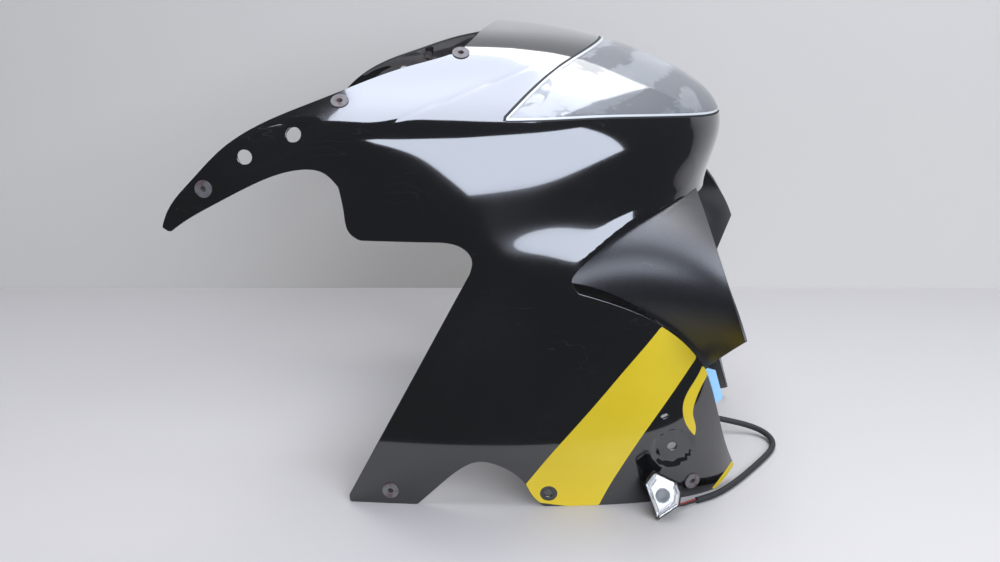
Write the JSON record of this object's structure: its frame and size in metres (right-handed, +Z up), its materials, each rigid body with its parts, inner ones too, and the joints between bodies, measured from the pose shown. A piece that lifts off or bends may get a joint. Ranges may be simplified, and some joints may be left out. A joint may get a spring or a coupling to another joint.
{
  "type": "motorcycle upper fairing",
  "caption": "Upper front fairing of a sports motorcycle with clear headlamp lens, windscreen arms, side panels, matte intake panels, yellow stripes and one loose indicator on its cable.",
  "frame": {"origin": "on the table under the middle of the fairing's bounding box, cable and loose indicator left out", "axes": "+X forward, -Y the rider's right side, +Z up; the XZ plane is the plane of symmetry"},
  "size_m": [0.5523, 0.4218, 0.4199],
  "materials": {
    "gloss_black_abs": "gloss lacquer",
    "clear_polycarbonate": "clear, finely scratched",
    "gasket_rubber": "matte",
    "black_plastic": "satin",
    "reflector_coating": "bright",
    "bulb_glass": "clear",
    "eyelet_rubber": "matte, dusty",
    "matte_black_panel": "fine grained matte",
    "yellow_vinyl": "semi-gloss film",
    "indicator_lens_clear": "clear",
    "dark_bulb": "dark",
    "red_wire_cover": "satin",
    "black_wire_cover": "satin",
    "black_sleeve": "satin PVC",
    "light_blue_nylon": "semi-matte"
  },
  "bodies": {
    "root": {"cowl_shell": "gloss_black_abs", "headlight_lens": "clear_polycarbonate", "lens_gasket": "gasket_rubber", "headlight_housing": "black_plastic", "headlight_bezel": "reflector_coating", "headlight_reflector": "reflector_coating", "headlight_bulb": "bulb_glass", "bulb_boot": "gasket_rubber", "windscreen_well_nuts": "eyelet_rubber", "stay_eyelets": "eyelet_rubber", "panel_eyelets": "eyelet_rubber", "right_intake_panel": "matte_black_panel", "left_intake_panel": "matte_black_panel", "right_stripe_decals": "yellow_vinyl", "left_stripe_decals": "yellow_vinyl", "indicator_housing": "black_plastic", "indicator_lens": "indicator_lens_clear", "indicator_reflector": "reflector_coating", "indicator_bulb": "dark_bulb", "indicator_stem": "eyelet_rubber", "indicator_wire_red": "red_wire_cover", "indicator_wire_black": "black_wire_cover", "indicator_sleeve": "black_sleeve", "indicator_connector": "light_blue_nylon"}
  },
  "joints": []
}
